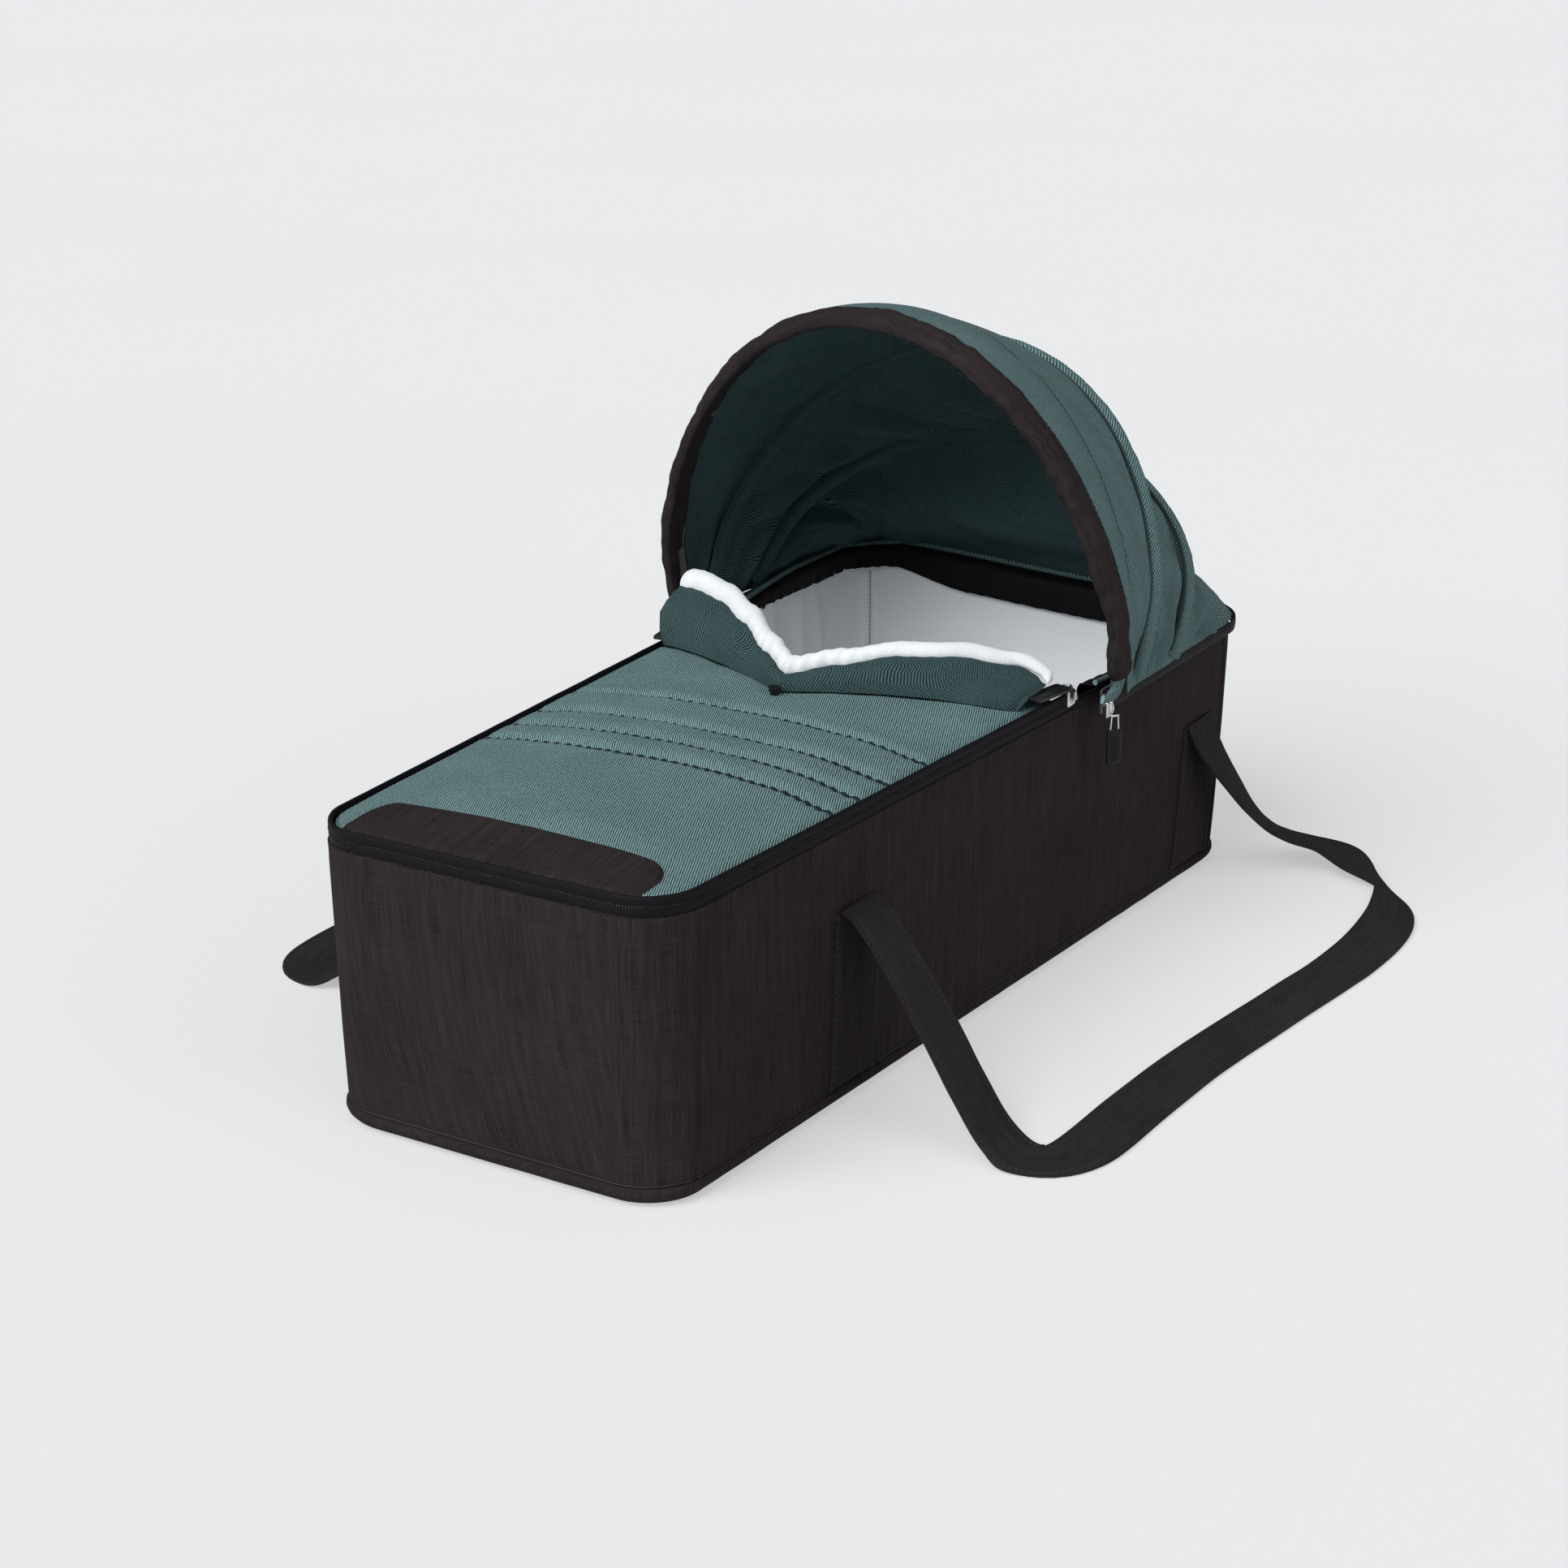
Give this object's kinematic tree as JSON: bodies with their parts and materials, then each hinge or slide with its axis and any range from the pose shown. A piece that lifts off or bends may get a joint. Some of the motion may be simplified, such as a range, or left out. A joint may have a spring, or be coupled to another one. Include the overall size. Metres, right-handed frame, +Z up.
{
  "type": "soft carrycot",
  "caption": "Long soft-sided carrycot with a quilted zip-on apron and raised wind flap, a folding cloth canopy on bows, and two strap handles lying on the floor.",
  "frame": {"origin": "centre of the base's underside, on the floor", "axes": "+X to the head end with the canopy, +Y to the left side, +Z up"},
  "size_m": [0.7984, 0.7316, 0.4703],
  "materials": {
    "cover_fabric": "matte heathered weave",
    "zip_tape": "matte woven tape",
    "teal_twill": "matte twill",
    "white_lining": "matte",
    "mattress_cover": "matte",
    "stiffener": "matte",
    "bow_plastic": "satin",
    "zip_metal": "polished",
    "pull_leather": "satin",
    "pull_rubber": "satin",
    "snap_plastic": "gloss"
  },
  "bodies": {
    "cot": {"outer_cover": "cover_fabric", "base_hem": "cover_fabric", "base_board": "stiffener", "left_side_board": "stiffener", "right_side_board": "stiffener", "foot_board": "stiffener", "head_board": "stiffener", "lining": "white_lining", "body_zip_tape": "zip_tape", "canopy_zip_tape": "zip_tape", "head_valance": "zip_tape", "left_foot_strap_channel": "cover_fabric", "right_foot_strap_channel": "cover_fabric", "left_head_strap_channel": "cover_fabric", "right_head_strap_channel": "cover_fabric", "left_bow_rail": "bow_plastic", "right_bow_rail": "bow_plastic"},
    "mattress_body": {"mattress": "mattress_cover"},
    "apron": {"apron_pad": "teal_twill", "apron_foot_panel": "cover_fabric", "apron_zip_tape": "zip_tape", "snap_socket": "snap_plastic"},
    "flap": {"wind_flap": "teal_twill", "wind_flap_roll": "white_lining", "snap_cap": "snap_plastic"},
    "canopy_front": {"front_bow": "bow_plastic", "canopy_front_trim": "cover_fabric", "canopy_front_panel": "teal_twill"},
    "canopy_middle": {"middle_bow": "bow_plastic", "canopy_middle_panel": "teal_twill"},
    "canopy_rear": {"rear_bow": "bow_plastic", "canopy_rear_panel": "teal_twill"},
    "right_slider_body": {"right_apron_slider": "zip_metal"},
    "left_slider_body": {"left_apron_slider": "zip_metal"},
    "right_pull_body": {"right_apron_pull": "pull_leather"},
    "left_pull_body": {"left_apron_pull": "pull_leather"},
    "canopy_slider_body": {"canopy_slider": "zip_metal"},
    "canopy_pull_body": {"canopy_pull": "pull_rubber"},
    "right_handle_body": {"right_handle": "cover_fabric"},
    "left_handle_body": {"left_handle": "cover_fabric"}
  },
  "joints": [
    {"name": "mattress_lift", "type": "slide", "parent": "cot", "child": "mattress_body", "axis": [0, 0, 1], "range_m": [0, 0.13]},
    {"name": "apron_fold", "type": "hinge", "parent": "cot", "child": "apron", "pos_m": [-0.39, 0, 0.2011], "axis": [0, -1, 0], "range_deg": [0, 110]},
    {"name": "flap_tilt", "type": "hinge", "parent": "apron", "child": "flap", "pos_m": [0.046, 0, 0.2056], "axis": [0, 1, 0], "range_deg": [0, 25]},
    {"name": "canopy_fold", "type": "hinge", "parent": "cot", "child": "canopy_front", "pos_m": [0.131, 0, 0.202], "axis": [0, 1, 0], "range_deg": [0, 74]},
    {"name": "middle_bow_turn", "type": "hinge", "parent": "cot", "child": "canopy_middle", "pos_m": [0.155, 0, 0.202], "axis": [0, 1, 0], "range_deg": [0, 51], "deforming": ["canopy_front_panel"]},
    {"name": "rear_bow_turn", "type": "hinge", "parent": "cot", "child": "canopy_rear", "pos_m": [0.219, 0, 0.202], "axis": [0, 1, 0], "range_deg": [0, 41], "deforming": ["canopy_middle_panel", "canopy_rear_panel"]},
    {"name": "right_slider_run", "type": "slide", "parent": "cot", "child": "right_slider_body", "axis": [-0.9986, 0.0531, 0], "range_m": [0, 0.43]},
    {"name": "left_slider_run", "type": "slide", "parent": "cot", "child": "left_slider_body", "axis": [-0.9986, -0.0531, 0], "range_m": [0, 0.42]},
    {"name": "right_pull_flip", "type": "hinge", "parent": "right_slider_body", "child": "right_pull_body", "pos_m": [0.101, -0.15882, 0.2111], "axis": [0, 1, 0], "range_deg": [0, 150]},
    {"name": "left_pull_flip", "type": "hinge", "parent": "left_slider_body", "child": "left_pull_body", "pos_m": [0.088, 0.15813, 0.2111], "axis": [0, 1, 0], "range_deg": [0, 150]},
    {"name": "canopy_slider_run", "type": "slide", "parent": "cot", "child": "canopy_slider_body", "axis": [1, 0, 0], "range_m": [0, 0.2]},
    {"name": "canopy_pull_swing", "type": "hinge", "parent": "canopy_slider_body", "child": "canopy_pull_body", "pos_m": [0.116, -0.1871, 0.191], "axis": [-1, 0, 0], "range_deg": [0, 80]},
    {"name": "right_handle_swing", "type": "hinge", "parent": "cot", "child": "right_handle_body", "pos_m": [-0.18, -0.14748, 0.141], "axis": [-0.9982, 0.0571, 0.0166], "range_deg": [0, 95]},
    {"name": "left_handle_swing", "type": "hinge", "parent": "cot", "child": "left_handle_body", "pos_m": [-0.18, 0.14748, 0.141], "axis": [0.9982, 0.0571, -0.0166], "range_deg": [0, 95]}
  ],
  "couplings": [
    {"joint": "middle_bow_turn", "follows": "canopy_fold", "ratio": 0.689},
    {"joint": "rear_bow_turn", "follows": "canopy_fold", "ratio": 0.554}
  ]
}
